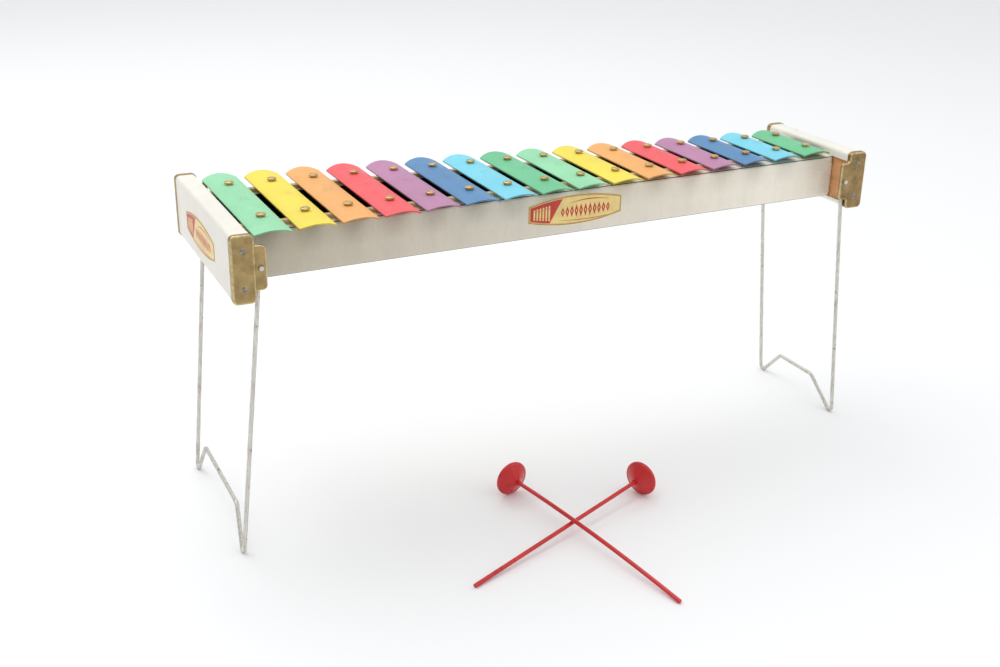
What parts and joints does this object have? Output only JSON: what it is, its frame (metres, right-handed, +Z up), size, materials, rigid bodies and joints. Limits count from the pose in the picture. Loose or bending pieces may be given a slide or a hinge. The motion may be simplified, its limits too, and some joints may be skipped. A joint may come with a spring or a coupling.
{
  "type": "toy xylophone",
  "caption": "Toy xylophone with arched metal bars pinned over a tapered sheet-metal trough between two end rails, on two folding wire legs, with two mallets.",
  "frame": {"origin": "on the floor plane that the feet and the mallets stand on, under the middle of the instrument", "axes": "+X along the instrument towards the short bars, +Y away from the player, +Z up"},
  "size_m": [0.5866, 0.3601, 0.2606],
  "materials": {
    "painted_sheet": "gloss white enamel, slightly worn",
    "strip_felt": "tan felt",
    "bar_light_green": "semi-gloss light green",
    "bar_yellow": "semi-gloss yellow",
    "bar_orange": "semi-gloss orange",
    "bar_red": "semi-gloss red",
    "bar_purple": "semi-gloss purple",
    "bar_dark_blue": "semi-gloss dark blue",
    "bar_light_blue": "semi-gloss light blue",
    "bar_dark_green": "semi-gloss green",
    "pin_brass": "plated pin",
    "core_board": "brown board",
    "cap_brass": "tarnished brass plate",
    "nail_steel": "dull steel",
    "label_sheet": "printed label, gold ground with a red edge",
    "leg_wire": "plated steel wire with age spots",
    "mallet_red": "semi-gloss red"
  },
  "bodies": {
    "frame": {"trough": "painted_sheet", "trough_end_left": "painted_sheet", "trough_end_right": "painted_sheet", "front_felt_strip": "strip_felt", "rear_felt_strip": "strip_felt", "bar_01": "bar_light_green", "bar_02": "bar_yellow", "bar_03": "bar_orange", "bar_04": "bar_red", "bar_05": "bar_purple", "bar_06": "bar_dark_blue", "bar_07": "bar_light_blue", "bar_08": "bar_dark_green", "bar_09": "bar_light_green", "bar_10": "bar_yellow", "bar_11": "bar_orange", "bar_12": "bar_red", "bar_13": "bar_purple", "bar_14": "bar_dark_blue", "bar_15": "bar_light_blue", "bar_16": "bar_dark_green", "front_pins": "pin_brass", "rear_pins": "pin_brass", "rail_cover_left": "painted_sheet", "rail_cover_right": "painted_sheet", "rail_core_left": "core_board", "rail_core_right": "core_board", "cap_front_left": "cap_brass", "cap_rear_left": "cap_brass", "cap_front_right": "cap_brass", "cap_rear_right": "cap_brass", "cap_nails": "nail_steel", "rail_screws": "nail_steel", "front_label": "label_sheet", "end_label": "label_sheet"},
    "left_leg": {"leg_left": "leg_wire"},
    "right_leg": {"leg_right": "leg_wire"},
    "mallet_a": {"mallet_a_head": "mallet_red", "mallet_a_stick": "mallet_red"},
    "mallet_b": {"mallet_b_head": "mallet_red", "mallet_b_stick": "mallet_red"}
  },
  "joints": [
    {"name": "left_leg_fold", "type": "hinge", "parent": "frame", "child": "left_leg", "pos_m": [-0.2684, 0, 0.23365], "axis": [0, -1, 0], "range_deg": [0, 88]},
    {"name": "right_leg_fold", "type": "hinge", "parent": "frame", "child": "right_leg", "pos_m": [0.2684, 0, 0.23365], "axis": [0, 1, 0], "range_deg": [0, 88]},
    {"name": "mallet_a_lift", "type": "slide", "parent": "frame", "child": "mallet_a", "axis": [0, 0, 1], "range_m": [0, 0.1]},
    {"name": "mallet_b_draw", "type": "slide", "parent": "frame", "child": "mallet_b", "axis": [0.933, 0.36, 0], "range_m": [0, 0.12]}
  ]
}
